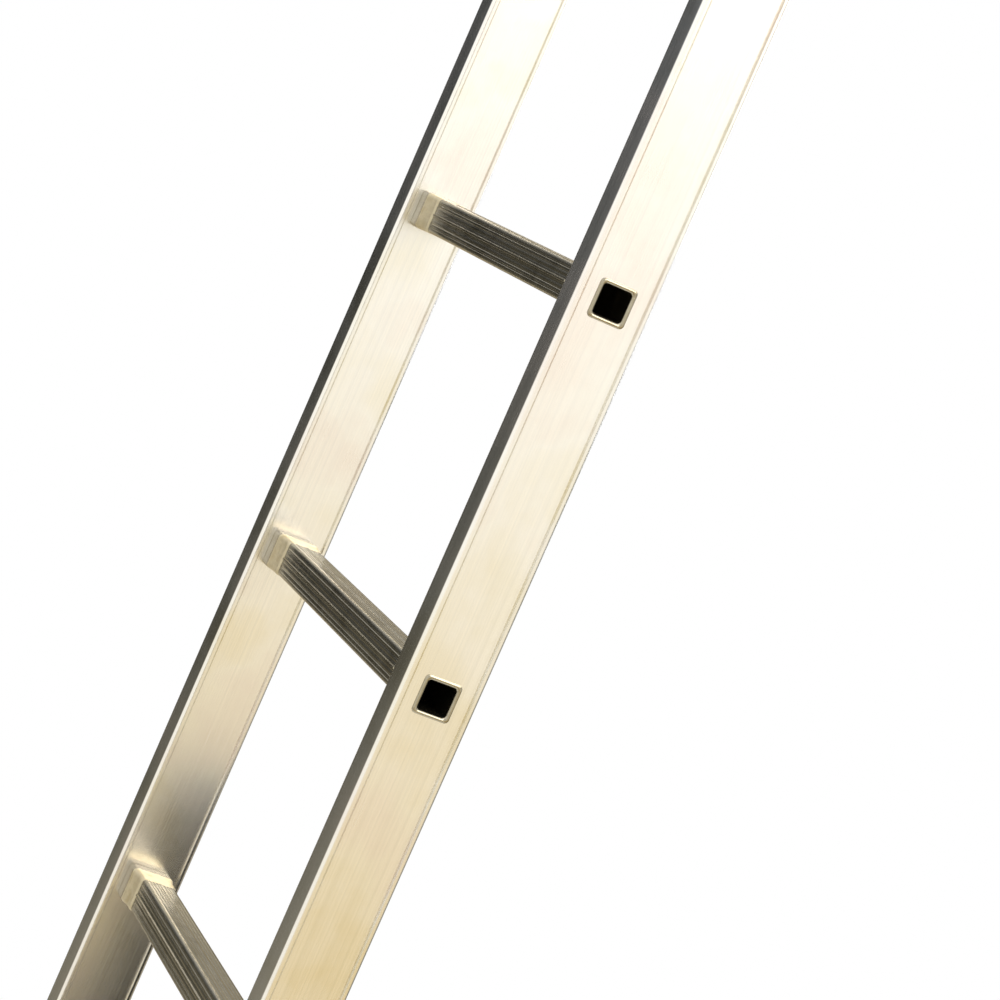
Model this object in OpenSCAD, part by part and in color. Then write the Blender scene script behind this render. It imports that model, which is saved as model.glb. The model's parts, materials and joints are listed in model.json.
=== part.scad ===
// Two-section push-up extension ladder, drawn upright and extended.
// X runs across the rungs, Y through the ladder (the climber stands on the -Y side) and Z up the stiles.
// The fly section stands in front of the base section and slides up it.

/* [Ladder] */
// Height from one rung to the next
rung_pitch = 280; // [250:5:300]
// Rungs in each section
rung_count = 7; // [6:1:9]
// Rungs of the two sections that stay side by side when extended
overlap_rungs = 3; // [3:1:4]
// Width over both stiles
ladder_w = 420; // [360:5:520]
// Space between the two sections
section_gap = 6; // [5:0.5:10]
// Stile below the first rung of the base
base_below = 262; // [200:1:300]
// Stile above the last rung of the base
base_above = 100; // [90:1:160]
// Stile below the first rung of the fly
fly_below = 110; // [110:1:150]
// Stile above the last rung of the fly
fly_above = 150; // [130:1:200]

/* [Stile] */
// Depth of the stile's broad face
stile_d = 55; // [50:1:80]
// Thickness of the stile over its lips
stile_t = 26; // [24:0.5:32]
// Wall of the stile extrusion
stile_wall = 1.5; // [1.2:0.1:2.5]
// Width of the raised lip along each edge
lip_w = 4; // [3:0.5:6]
// Height of the lip above the flat of the face
lip_h = 1.5; // [1.2:0.1:2]

/* [Rung] */
// Outside width of the square rung
rung_w = 27; // [24:0.5:32]
// Wall of the rung tube
rung_wall = 1.8; // [1.6:0.1:2.5]
// Corner radius of the rung
rung_r = 3; // [2:0.5:4]
// Grooves on each side of a face's middle rib
groove_pairs = 3; // [1:1:4]
// Width of one groove
groove_w = 1.3; // [0.8:0.1:1.5]
// Distance from one groove to the next
groove_pitch = 3; // [2.4:0.1:3.2]
// Depth of one groove
groove_depth = 0.6; // [0.3:0.1:0.8]
// Outside width of the rung's neck, where it goes through a stile
neck_w = 24.2; // [22:0.1:25]
// Length of the collar on each end of the rung
collar_l = 34; // [20:1:40]
// How far the collar stands out in front of the rung and behind it
collar_y = 3.5; // [1:0.5:5]
// How far the collar stands above the rung and below it
collar_z = 0.8; // [0.5:0.1:1.5]
// How far the flared end stands above the flat of the stile
flare_t = 1.2; // [0.8:0.1:1.2]
// How far the flared end spreads past the neck
flare_h = 1.6; // [1.2:0.1:3]

/* [Feet and caps] */
// Thickness of the rubber pad
pad_t = 14; // [10:1:20]
// Thickness of the shoe's floor
shoe_floor = 4; // [3:0.5:8]
// Height of the shoe's sleeve above its floor
shoe_h = 52; // [40:1:80]
// Wall of the shoe's sleeve
shoe_wall = 3; // [2.5:0.5:5]
// Width of one tread groove in the pad
tread_w = 4; // [3:0.5:6]
// Depth of the tread grooves
tread_depth = 3; // [2:0.5:5]
// Thickness of an end cap's flange
cap_t = 3; // [2:0.5:6]
// Height of the rubber wall cap above the end of the stile
wall_cap_t = 8; // [6:1:14]
// Length of the wall cap's skirt down the stile
wall_cap_skirt = 24; // [18:1:30]

/* [Guides] */
// Height of a guide bracket
guide_h = 60; // [50:1:70]
// Thickness of the guide's wrapping plate
guide_t = 3; // [2.5:0.5:4]
// Thickness of the nylon liner
liner_t = 2.5; // [2:0.5:3]
// Clearance of everything that slides on a stile
slide_clear = 0.5; // [0.4:0.1:0.8]
// Reach of the guide over the far edge of the other stile
guide_reach = 22; // [18:1:24]
// Distance from the end of a section to its guide
guide_inset = 10; // [8:1:14]
// Spare travel past the highest rung before the stops meet
over_travel = 60; // [40:5:70]
// Height of an extension stop
stop_h = 28; // [20:1:40]

/* [Rung locks] */
// How far the fly is held above its seat, so that the locks swing freely
seat_lift = 12; // [11:0.5:16]
// Thickness of the lock hook
hook_t = 10; // [8:0.5:12]
// Depth of the hook's jaws below its seat
jaw_depth = 9; // [7:0.5:10]
// Thickness of the back jaw
jaw_t = 8.7; // [7:0.1:10]
// Play between the hook and the rung it sits on
jaw_clear = 0.8; // [0.5:0.1:1.2]
// Radius of the hook's pivot pin
pin_r = 5; // [4:0.5:6]
// Running clearance between the pin and the hook
pin_clear = 0.05; // [0.02:0.01:0.1]
// Sheet thickness of the lock bracket
bracket_t = 2.5; // [2:0.5:3]
// Turn from seated to parked, in degrees
park_turn = 118; // [112:1:120]

/* [Hidden] */
$fn = 48;
SIDES = ["left", "right"];

fit = 0.05;                                     // gap round a piece that is pressed or riveted in place
cap_fit = 0.2;                                  // gap round a plug or sleeve
edge_r = 1;                                     // rounding of extruded edges
bore_r = 2;                                     // corners of the rung's hollow
cut = 1;                                        // how far a cutting shape runs past a face

half_w = ladder_w / 2;
section_y = (stile_d + section_gap) / 2;        // each section's middle, before and behind Y = 0
reach_y = stile_d + section_gap;                // from one section's middle to the other's
stile_x = half_w - stile_t / 2;                 // middle of a stile
web_x = half_w - lip_h;                         // flat of a stile's outer face
inner_web_x = half_w - stile_t + lip_h;         // flat of a stile's inner face
cavity_t = stile_t - 2 * lip_h - 2 * stile_wall;
cavity_d = stile_d - 2 * stile_wall;

base_z = pad_t + shoe_floor;                    // bottom end of the base stiles
first_z = base_z + base_below;                  // first rung of the base, and of the closed fly
last_z = first_z + (rung_count - 1) * rung_pitch;
base_top_z = last_z + base_above;
fly_bottom_z = first_z - fly_below;             // both ends of the fly are given with it closed
fly_top_z = last_z + fly_above;
fly_lift = (rung_count - overlap_rungs) * rung_pitch + seat_lift;

rivet_r = 3.2;                                  // shank
rivet_head_r = 6.5;
rivet_head_h = 2.4;
rivet_grip = 5;                                 // shank inside the stile
lock_rivet_grip = 3;
guide_rivet_dz = 18;                            // half the spacing of a guide's rivets

plate_x = half_w + slide_clear + liner_t;       // inner face of a guide's wrapping plate
guide_x = plate_x + guide_t;                    // outer face of a guide
wrap_y = reach_y + stile_d / 2 + slide_clear;   // where the guide's lining passes the other stile's edge
top_guide_z = base_top_z - guide_inset - guide_h / 2;
bottom_guide_z = fly_bottom_z + guide_inset + guide_h / 2;
plug_l = guide_inset + guide_h / 2 - guide_rivet_dz - rivet_head_r; // an end cap's plug stops short of the rivets
stop_z = bottom_guide_z + guide_h / 2 + fly_lift + over_travel + slide_clear;

peg_r = 2.5;                                    // moulded pegs of liners and pads
peg_dz = 17;
foot_peg_r = 4;                                 // pegs that hold the foot's pad in its shoe
foot_peg_l = 2.8;
pad_rim = 2;                                    // how far the foot's pad spreads past its shoe
tread_land = 6;                                 // rubber left between two tread grooves
cap_wall = 2;                                   // wall of the wall cap's skirt
liner_short = 2;                                // how far the liner stops short of the guide's free edge
stop_rivet_dz = 8;
shoe_rivet_z = base_z + 34;

hook_y = 4;                                     // pivot, behind the middle of the fly's stile
hook_z = 40;                                    // pivot, above the fly's first rung
boss_r = 13;
seat_clear = 0.4;                               // between the seat and a rung when the fly is down
seat_v = rung_w / 2 + seat_clear - hook_z;      // seat, measured from the pivot
jaw_front_u = reach_y - rung_w / 2 - jaw_clear - hook_y;
jaw_back_u = reach_y + rung_w / 2 + jaw_clear - hook_y;
front_jaw_t = 7;
nose_v = -12;                                   // top of the hook's nose
collar_gap = 2.5;                               // between the hook and the rungs' collars
flange_gap = 5;                                 // between the hook and the bracket's inner flange
hook_x = inner_web_x - collar_l - collar_gap - hook_t;
inner_flange_x = hook_x - flange_gap - bracket_t;
hook_play = 0.3;                                // between the hook and each of its spacers
bracket_low = -22;                              // heights of the bracket, measured from the pivot
bracket_high = 26;
bracket_back_y = 20;
park_gap = 0.3;                                 // between the parked hook's back and its bracket
// Both ends of the parked hook's back edge, from the pivot, and where it passes the bracket's top.
back_a = turned([0, boss_r - edge_r], park_turn);
back_b = turned([jaw_back_u, nose_v], park_turn);
back_u = back_a[0] + (back_b[0] - back_a[0]) * (bracket_high - back_a[1]) / (back_b[1] - back_a[1]);
bracket_front_y = hook_y + back_u - park_gap - bracket_t;
pin_head_r = 9;
pin_head_t = 4;
spacer_r = 8;

function turned(p, a) = [p[0] * cos(a) - p[1] * sin(a), p[0] * sin(a) + p[1] * cos(a)];

// ---- placing ----

module on_side(side) {
    if (side == "left")
        mirror([1, 0, 0]) children();
    else
        children();
}

// A section is drawn with its middle on Y = 0 and the other section on its +Y side.
module in_base() {
    translate([0, section_y, 0])
        mirror([0, 1, 0])
            children();
}

module in_fly() {
    translate([0, -section_y, fly_lift])
        children();
}

// Stands a shape that is drawn along Z so that it runs out along +X from x.
module along_x(x, y, z) {
    translate([x, y, z])
        rotate([0, 90, 0])
            children();
}

// ---- shapes used more than once ----

module rounded_rect(w, d, r) {
    square([w - 2 * r, d], center = true);
    square([w, d - 2 * r], center = true);
    for (x = [-1, 1], y = [-1, 1])
        translate([x * (w / 2 - r), y * (d / 2 - r)])
            circle(r);
}

module stile_outline(grow = 0) {
    square([stile_t - 2 * lip_h + 2 * grow, stile_d - 2 * edge_r], center = true);
    for (s = [-1, 1])
        translate([0, s * (stile_d - lip_w) / 2])
            rounded_rect(stile_t + 2 * grow, lip_w + 2 * grow, edge_r);
}

module rivet_hole(x, y, z, depth) {
    along_x(x - depth, y, z)
        cylinder(r = rivet_r + fit, h = depth + cut);
}

// A domed rivet whose head sits on the plane at x and whose shank runs inwards.
module rivet(x, y, z, depth) {
    dome_r = (rivet_head_r * rivet_head_r + rivet_head_h * rivet_head_h) / (2 * rivet_head_h);
    along_x(x, y, z) {
        translate([0, 0, -depth])
            cylinder(r = rivet_r, h = depth);
        intersection() {
            translate([0, 0, rivet_head_h - dome_r])
                sphere(dome_r);
            cylinder(r = rivet_head_r, h = rivet_head_h);
        }
    }
}

// ---- stiles ----

module stile(bottom, top) {
    difference() {
        translate([stile_x, 0, bottom])
            linear_extrude(top - bottom)
                difference() {
                    stile_outline();
                    square([cavity_t, cavity_d], center = true);
                }
        for (i = [0 : rung_count - 1])
            along_x(half_w - stile_t - cut, 0, first_z + i * rung_pitch)
                linear_extrude(stile_t + 2 * cut)
                    rounded_rect(neck_w + 2 * fit, neck_w + 2 * fit, rung_r);
    }
}

// Holes for the pegs of a pad on the face that looks at the other section.
module pad_peg_holes(z) {
    for (dz = [-peg_dz, peg_dz])
        translate([stile_x, stile_d / 2 - stile_wall - cut, z + dz])
            rotate([-90, 0, 0])
                cylinder(r = peg_r + fit, h = stile_wall + 2 * cut);
}

module base_stile(side) {
    color("lightgray")
        in_base() on_side(side)
            difference() {
                stile(base_z, base_top_z);
                for (dz = [-guide_rivet_dz, guide_rivet_dz])
                    rivet_hole(half_w, 0, top_guide_z + dz, rivet_grip);
                for (dz = [-stop_rivet_dz, stop_rivet_dz])
                    rivet_hole(half_w, 0, stop_z + stop_h / 2 + dz, rivet_grip);
                rivet_hole(half_w, 0, shoe_rivet_z, rivet_grip);
                pad_peg_holes(top_guide_z);
            }
}

module fly_stile(side) {
    color("gainsboro")
        in_fly() on_side(side)
            difference() {
                stile(fly_bottom_z, fly_top_z);
                for (dz = [-guide_rivet_dz, guide_rivet_dz])
                    rivet_hole(half_w, 0, bottom_guide_z + dz, rivet_grip);
                pad_peg_holes(bottom_guide_z);
                lock_stile_holes();
            }
}

// ---- rungs ----

module rung_outline() {
    difference() {
        rounded_rect(rung_w, rung_w, rung_r);
        for (a = [0, 90, 180, 270], k = [1 : groove_pairs], s = [-1, 1])
            rotate(a)
                translate([rung_w / 2, s * k * groove_pitch])
                    square([2 * groove_depth, groove_w], center = true);
    }
}

// A ribbed square tube with a collar at each end, necked down to pass through the stile and flared outside it.
module rung(z) {
    end_x = web_x + flare_t;
    neck_bore = neck_w - 2 * rung_wall;
    body_bore = rung_w - 2 * rung_wall;
    shoulder_x = inner_web_x - rung_wall;
    difference() {
        union() {
            along_x(-inner_web_x, 0, z)
                linear_extrude(2 * inner_web_x)
                    rung_outline();
            for (s = SIDES)
                on_side(s) {
                    along_x(inner_web_x - collar_l, 0, z)
                        linear_extrude(collar_l)
                            rounded_rect(rung_w + 2 * collar_z, rung_w + 2 * collar_y, rung_r);
                    along_x(inner_web_x, 0, z)
                        linear_extrude(web_x - inner_web_x)
                            rounded_rect(neck_w, neck_w, rung_r);
                    along_x(web_x, 0, z)
                        linear_extrude(flare_t)
                            rounded_rect(neck_w + 2 * flare_h, neck_w + 2 * flare_h, rung_r + flare_h);
                }
        }
        along_x(-end_x - cut, 0, z)
            linear_extrude(2 * (end_x + cut))
                rounded_rect(neck_bore, neck_bore, bore_r);
        along_x(-shoulder_x, 0, z)
            linear_extrude(2 * shoulder_x)
                rounded_rect(body_bore, body_bore, bore_r);
    }
}

module base_rung(i) {
    color("darkkhaki")
        in_base()
            rung(first_z + (i - 1) * rung_pitch);
}

module fly_rung(i) {
    color("darkkhaki")
        in_fly()
            rung(first_z + (i - 1) * rung_pitch);
}

// ---- feet ----

module foot_shoe(side) {
    outer_t = stile_t + 2 * (cap_fit + shoe_wall);
    outer_d = stile_d + 2 * (cap_fit + shoe_wall);
    color("dimgray")
        in_base() on_side(side)
            difference() {
                translate([stile_x, 0, pad_t])
                    linear_extrude(shoe_floor + shoe_h)
                        rounded_rect(outer_t, outer_d, shoe_wall);
                translate([stile_x, 0, base_z])
                    linear_extrude(shoe_h + cut)
                        rounded_rect(stile_t + 2 * cap_fit, stile_d + 2 * cap_fit, edge_r);
                foot_pegs(fit, cut);
                rivet_hole(half_w + cap_fit + shoe_wall, 0, shoe_rivet_z, shoe_wall + stile_wall);
            }
}

module foot_pegs(grow, extra) {
    for (s = [-1, 1])
        translate([stile_x, s * stile_d / 4, pad_t - extra])
            cylinder(r = foot_peg_r + grow, h = foot_peg_l + extra + grow);
}

module foot_pad(side) {
    pad_grow = 2 * (cap_fit + shoe_wall + pad_rim);
    color("darkslategray")
        in_base() on_side(side) {
            difference() {
                translate([stile_x, 0, 0])
                    linear_extrude(pad_t)
                        rounded_rect(stile_t + pad_grow, stile_d + pad_grow, shoe_wall + pad_rim);
                for (k = [-2 : 2])
                    translate([stile_x, k * (tread_w + tread_land), tread_depth / 2 - cut / 2])
                        cube([stile_t + pad_grow + 2 * cut, tread_w, tread_depth + cut], center = true);
            }
            foot_pegs(0, 0);
        }
}

// ---- caps ----

// A plug for the end of a stile: its flange lies on the end at z, and up is 1 or -1.
module end_plug(z, up, flange) {
    plug_t = cavity_t - 2 * cap_fit;
    plug_d = cavity_d - 2 * cap_fit;
    translate([stile_x, 0, z])
        mirror([0, 0, up > 0 ? 0 : 1]) {
            linear_extrude(flange)
                stile_outline();
            translate([0, 0, -plug_l])
                linear_extrude(plug_l)
                    difference() {
                        square([plug_t, plug_d], center = true);
                        square([plug_t - 2 * shoe_wall, plug_d - 2 * shoe_wall], center = true);
                    }
        }
}

module base_top_cap(side) {
    color("dimgray")
        in_base() on_side(side)
            end_plug(base_top_z, 1, cap_t);
}

module fly_bottom_cap(side) {
    color("dimgray")
        in_fly() on_side(side)
            end_plug(fly_bottom_z, -1, cap_t);
}

// A rubber cap over the top of the fly's stile, which leans on the wall.
module wall_cap(side) {
    color("darkslategray")
        in_fly() on_side(side)
            difference() {
                translate([stile_x, 0, fly_top_z - wall_cap_skirt])
                    linear_extrude(wall_cap_skirt + wall_cap_t)
                        rounded_rect(stile_t + 2 * (fit + cap_wall), stile_d + 2 * (fit + cap_wall), cap_wall);
                translate([stile_x, 0, fly_top_z - wall_cap_skirt - cut])
                    linear_extrude(wall_cap_skirt + cut)
                        rounded_rect(stile_t + 2 * fit, stile_d + 2 * fit, edge_r);
            }
}

// ---- guides ----

// A bracket riveted to its own stile, which wraps round the far edge of the other section's stile.
module guide(z) {
    plate_end = wrap_y + liner_t + guide_t;
    difference() {
        translate([0, 0, z - guide_h / 2])
            linear_extrude(guide_h) {
                translate([half_w, -stile_d / 4])
                    square([guide_x - half_w, stile_d * 3 / 4]);
                translate([plate_x, 0])
                    square([guide_t, plate_end]);
                translate([guide_x - guide_reach, wrap_y + liner_t])
                    square([guide_reach, guide_t]);
            }
        for (dz = [-guide_rivet_dz, guide_rivet_dz])
            rivet_hole(guide_x, 0, z + dz, guide_x - half_w + cut);
        liner_pegs(z, fit, cut);
    }
}

module liner_pegs(z, grow, extra) {
    for (dz = [-peg_dz, peg_dz])
        along_x(plate_x - extra, reach_y, z + dz)
            cylinder(r = peg_r + grow, h = guide_t + 2 * extra);
}

// Nylon between a guide and the stile that slides in it.
module guide_liner(z) {
    front_w = guide_reach - guide_t - liner_short;
    translate([0, 0, z - guide_h / 2])
        linear_extrude(guide_h) {
            translate([plate_x - liner_t, stile_d / 2 + section_gap])
                square([liner_t, wrap_y + liner_t - stile_d / 2 - section_gap]);
            translate([plate_x - front_w, wrap_y])
                square([front_w, liner_t]);
        }
    liner_pegs(z, 0, 0);
}

// Nylon between the facing sides of the two sections.
module slide_pad(z) {
    pad_w = stile_t - 2 * lip_w;
    pad_y = section_gap - slide_clear;
    translate([stile_x - pad_w / 2, stile_d / 2, z - guide_h / 2])
        cube([pad_w, pad_y, guide_h]);
    for (dz = [-peg_dz, peg_dz])
        translate([stile_x, stile_d / 2 - stile_wall, z + dz])
            rotate([-90, 0, 0])
                cylinder(r = peg_r, h = stile_wall);
}

module top_guide(side) {
    color("silver")
        in_base() on_side(side)
            guide(top_guide_z);
}

module bottom_guide(side) {
    color("silver")
        in_fly() on_side(side)
            guide(bottom_guide_z);
}

module top_guide_liner(side) {
    color("black")
        in_base() on_side(side)
            guide_liner(top_guide_z);
}

module bottom_guide_liner(side) {
    color("black")
        in_fly() on_side(side)
            guide_liner(bottom_guide_z);
}

module top_slide_pad(side) {
    color("black")
        in_base() on_side(side)
            slide_pad(top_guide_z);
}

module bottom_slide_pad(side) {
    color("black")
        in_fly() on_side(side)
            slide_pad(bottom_guide_z);
}

// A block that the fly's guide meets at the top of its travel.
module extension_stop(side) {
    color("silver")
        in_base() on_side(side)
            difference() {
                translate([half_w, -stile_d / 4, stop_z])
                    cube([guide_x - half_w, stile_d / 2, stop_h]);
                for (dz = [-stop_rivet_dz, stop_rivet_dz])
                    rivet_hole(guide_x, 0, stop_z + stop_h / 2 + dz, guide_x - half_w + cut);
            }
}

// ---- rung locks ----

// Measured from the pivot: u runs back towards the base section and v up.
module hook_arm() {
    nose = [for (a = [90 : -15 : 0]) [jaw_back_u + jaw_t * cos(a), nose_v - jaw_t + jaw_t * sin(a)]];
    tip_v = seat_v - jaw_depth;
    polygon(concat(
        [[0, boss_r - edge_r]],
        nose,
        [
            [jaw_back_u + jaw_t, tip_v],
            [jaw_back_u, tip_v],
            [jaw_back_u, seat_v],
            [jaw_front_u, seat_v],
            [jaw_front_u, tip_v],
            [jaw_front_u - front_jaw_t, tip_v],
            [-boss_r / 2, edge_r - boss_r * 3 / 4]
        ]
    ));
}

module at_pivot(x) {
    translate([x, hook_y, first_z + hook_z])
        children();
}

// The hook is drawn parked: swung up and just past upright, so that it rests on its bracket.
module lock_hook(side) {
    color("slategray")
        in_fly() on_side(side)
            at_pivot(hook_x)
                rotate([park_turn, 0, 0])
                    rotate([90, 0, 90])
                        difference() {
                            union() {
                                cylinder(r = boss_r, h = hook_t);
                                linear_extrude(hook_t)
                                    hook_arm();
                            }
                            translate([0, 0, -cut])
                                cylinder(r = pin_r + pin_clear, h = hook_t + 2 * cut);
                        }
}

// Where the bracket is riveted to the stile, from the pivot.
lock_rivet_places = [[-9, 17], [8, -15]];

module lock_bracket(side) {
    depth = bracket_back_y - bracket_front_y;
    height = bracket_high - bracket_low;
    color("silver")
        in_fly() on_side(side)
            difference() {
                translate([0, bracket_front_y, first_z + hook_z + bracket_low]) {
                    for (x = [inner_flange_x, inner_web_x - bracket_t])
                        translate([x, 0, 0])
                            cube([bracket_t, depth, height]);
                    translate([inner_flange_x, 0, 0])
                        cube([inner_web_x - inner_flange_x, bracket_t, height]);
                }
                at_pivot(inner_flange_x - cut)
                    rotate([0, 90, 0])
                        cylinder(r = pin_r + fit, h = inner_web_x - inner_flange_x + 2 * cut);
                lock_rivet_holes(inner_web_x - bracket_t - cut, bracket_t + 2 * cut);
            }
}

module lock_rivet_holes(x, length) {
    for (p = lock_rivet_places)
        at_pivot(x)
            translate([0, p[0], p[1]])
                rotate([0, 90, 0])
                    cylinder(r = rivet_r + fit, h = length);
}

module lock_stile_holes() {
    at_pivot(inner_web_x - cut)
        rotate([0, 90, 0])
            cylinder(r = pin_r + fit, h = stile_wall + 2 * cut);
    lock_rivet_holes(inner_web_x - cut, stile_wall + 2 * cut);
}

module lock_pin(side) {
    color("darkgray")
        in_fly() on_side(side)
            at_pivot(inner_flange_x - pin_head_t)
                rotate([0, 90, 0]) {
                    cylinder(r = pin_head_r, h = pin_head_t);
                    cylinder(r = pin_r, h = pin_head_t + inner_web_x + stile_wall - inner_flange_x);
                }
}

// Two tubes that hold the hook in the middle of its bracket.
module lock_spacers(side) {
    inner_gap = hook_x - inner_flange_x - bracket_t;
    outer_gap = inner_web_x - bracket_t - hook_x - hook_t;
    color("darkgray")
        in_fly() on_side(side)
            for (tube = [[inner_flange_x + bracket_t, inner_gap - hook_play],
                         [hook_x + hook_t + hook_play, outer_gap - hook_play]])
                at_pivot(tube[0])
                    rotate([0, 90, 0])
                        difference() {
                            cylinder(r = spacer_r, h = tube[1]);
                            translate([0, 0, -cut])
                                cylinder(r = pin_r + fit, h = tube[1] + 2 * cut);
                        }
}

// ---- rivets ----

module foot_rivets() {
    color("silver")
        in_base()
            for (s = SIDES)
                on_side(s)
                    rivet(half_w + cap_fit + shoe_wall, 0, shoe_rivet_z, shoe_wall + rivet_grip);
}

module guide_rivets(z) {
    for (s = SIDES, dz = [-guide_rivet_dz, guide_rivet_dz])
        on_side(s)
            rivet(guide_x, 0, z + dz, guide_x - half_w + rivet_grip);
}

module top_guide_rivets() {
    color("silver")
        in_base()
            guide_rivets(top_guide_z);
}

module bottom_guide_rivets() {
    color("silver")
        in_fly()
            guide_rivets(bottom_guide_z);
}

module stop_rivets() {
    color("silver")
        in_base()
            for (s = SIDES, dz = [-stop_rivet_dz, stop_rivet_dz])
                on_side(s)
                    rivet(guide_x, 0, stop_z + stop_h / 2 + dz, guide_x - half_w + rivet_grip);
}

module lock_rivets() {
    color("silver")
        in_fly()
            for (s = SIDES, p = lock_rivet_places)
                on_side(s)
                    translate([2 * (inner_web_x - bracket_t), 0, 0])
                        mirror([1, 0, 0])
                            translate([0, hook_y + p[0], first_z + hook_z + p[1]])
                                rivet(inner_web_x - bracket_t, 0, 0, bracket_t + lock_rivet_grip);
}

// ---- drawing ----

for (i = [1 : rung_count]) {
    base_rung(i);
    fly_rung(i);
}

for (s = SIDES) {
    base_stile(s);
    foot_shoe(s);
    foot_pad(s);
    base_top_cap(s);
    top_guide(s);
    top_guide_liner(s);
    top_slide_pad(s);
    extension_stop(s);
    fly_stile(s);
    wall_cap(s);
    fly_bottom_cap(s);
    bottom_guide(s);
    bottom_guide_liner(s);
    bottom_slide_pad(s);
    lock_bracket(s);
    lock_pin(s);
    lock_spacers(s);
    lock_hook(s);
}

foot_rivets();
top_guide_rivets();
stop_rivets();
bottom_guide_rivets();
lock_rivets();
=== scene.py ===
import json
import math
import bmesh
import bpy
from mathutils import Matrix, Vector


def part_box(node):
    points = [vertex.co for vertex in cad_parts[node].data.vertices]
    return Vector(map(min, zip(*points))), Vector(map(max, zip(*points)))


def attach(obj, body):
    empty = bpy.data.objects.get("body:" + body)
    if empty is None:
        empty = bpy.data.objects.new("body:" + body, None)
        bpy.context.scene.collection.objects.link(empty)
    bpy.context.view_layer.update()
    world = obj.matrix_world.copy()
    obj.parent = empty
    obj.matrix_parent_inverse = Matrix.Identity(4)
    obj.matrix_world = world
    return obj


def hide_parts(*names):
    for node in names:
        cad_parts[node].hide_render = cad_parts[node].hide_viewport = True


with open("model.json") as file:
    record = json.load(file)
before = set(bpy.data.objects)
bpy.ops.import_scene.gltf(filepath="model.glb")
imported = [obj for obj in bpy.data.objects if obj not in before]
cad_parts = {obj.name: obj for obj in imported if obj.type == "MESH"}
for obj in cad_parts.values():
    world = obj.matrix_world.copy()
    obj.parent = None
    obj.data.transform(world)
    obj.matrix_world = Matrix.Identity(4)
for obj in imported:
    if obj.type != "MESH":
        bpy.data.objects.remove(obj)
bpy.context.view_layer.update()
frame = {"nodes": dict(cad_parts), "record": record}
nodes = frame["nodes"]
scene = bpy.context.scene
sides = ("left", "right")
mm = 0.001
print("frame loaded:", len(nodes), "nodes")

bodyNodes = frame["record"]["behaviour"]["bodies"]
bodyOf = {node: body for body, names in bodyNodes.items() for node in names}
slotOf = {part["node"]: part["material_slot"] for part in frame["record"]["subparts"]}


# colour and node helpers

def linearColour(hexCode, alpha=1.0):
    # sRGB hex to the linear values that Cycles works in
    values = [int(hexCode[i:i + 2], 16) / 255 for i in (1, 3, 5)]
    return [v / 12.92 if v <= 0.04045 else ((v + 0.055) / 1.055) ** 2.4 for v in values] + [alpha]


def addNode(tree, kind, settings=None, **links):
    # settings: attribute or input values; links: input name or number -> output socket
    node = tree.nodes.new(kind)
    for key, value in (settings or {}).items():
        if isinstance(key, int) or key in node.inputs:
            node.inputs[key].default_value = value
        else:
            setattr(node, key, value)
    for key, socket in links.items():
        target = node.inputs[int(key[1:])] if key[0] == "i" and key[1:].isdigit() else node.inputs[key]
        tree.links.new(socket, target)
    return node


def setRamp(node, stops):
    ramp = node.color_ramp
    while len(ramp.elements) > 1:
        ramp.elements.remove(ramp.elements[-1])
    ramp.elements[0].position, ramp.elements[0].color = stops[0][0], stops[0][1]
    for place, colour in stops[1:]:
        ramp.elements.new(place).color = colour
    return node


def startMaterial(name):
    material = bpy.data.materials.new(name)
    material.use_nodes = True
    tree = material.node_tree
    tree.nodes.clear()
    shader = addNode(tree, "ShaderNodeBsdfPrincipled")
    addNode(tree, "ShaderNodeOutputMaterial", None, Surface=shader.outputs["BSDF"])
    return material, tree, shader


def grey(value):
    return [value, value, value, 1.0]


def stretchedNoise(tree, coords, scale, detail=2.0, roughness=0.5):
    # scale is in cycles per metre along x, y and z
    mapping = addNode(tree, "ShaderNodeMapping", {"Scale": scale}, Vector=coords)
    return addNode(tree, "ShaderNodeTexNoise", {"Scale": 1.0, "Detail": detail, "Roughness": roughness},
                   Vector=mapping.outputs["Vector"]).outputs["Fac"]


def brushedMetal(name, look):
    # streaks run along one axis, patches are handling marks, and both move colour, gloss and bump a little
    material, tree, shader = startMaterial(name)
    coords = addNode(tree, "ShaderNodeTexCoord").outputs["Object"]
    across, along = 1 / (look["streakWidth"] * mm), 1 / (look["streakLength"] * mm)
    scales = {"x": (along, across, across), "y": (across, along, across), "z": (across, across, along)}
    streaks = stretchedNoise(tree, coords, scales[look["grain"]], 3.0, 0.6)
    patch = 1 / (look["patchSize"] * mm)
    patches = stretchedNoise(tree, coords, (patch, patch, patch), 4.0, 0.55)
    tint = setRamp(addNode(tree, "ShaderNodeValToRGB", None, Fac=patches),
                   [(0.30, linearColour(look["colours"][0])), (0.50, linearColour(look["colours"][1])),
                    (0.70, linearColour(look["colours"][2]))])
    shade = setRamp(addNode(tree, "ShaderNodeValToRGB", None, Fac=streaks),
                    [(0.25, grey(1 - look["streakShade"])), (0.75, grey(1.0))])
    colour = addNode(tree, "ShaderNodeMix", {"data_type": "RGBA", "blend_type": "MULTIPLY", 0: 1.0},
                     i6=tint.outputs["Color"], i7=shade.outputs["Color"])
    tree.links.new(colour.outputs[2], shader.inputs["Base Color"])
    low, high = look["roughness"]
    rough = addNode(tree, "ShaderNodeMapRange",
                    {"From Min": 0.25, "From Max": 0.75, "To Min": low, "To Max": high}, Value=patches)
    roughStreak = addNode(tree, "ShaderNodeMath", {"operation": "MULTIPLY_ADD", 1: look["streakRough"]},
                          i0=streaks, i2=rough.outputs["Result"])
    tree.links.new(roughStreak.outputs["Value"], shader.inputs["Roughness"])
    bump = addNode(tree, "ShaderNodeBump",
                   {"Strength": look["bump"], "Distance": look["bumpDepth"] * mm}, Height=streaks)
    tree.links.new(bump.outputs["Normal"], shader.inputs["Normal"])
    shader.inputs["Metallic"].default_value = 1.0
    return material


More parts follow.
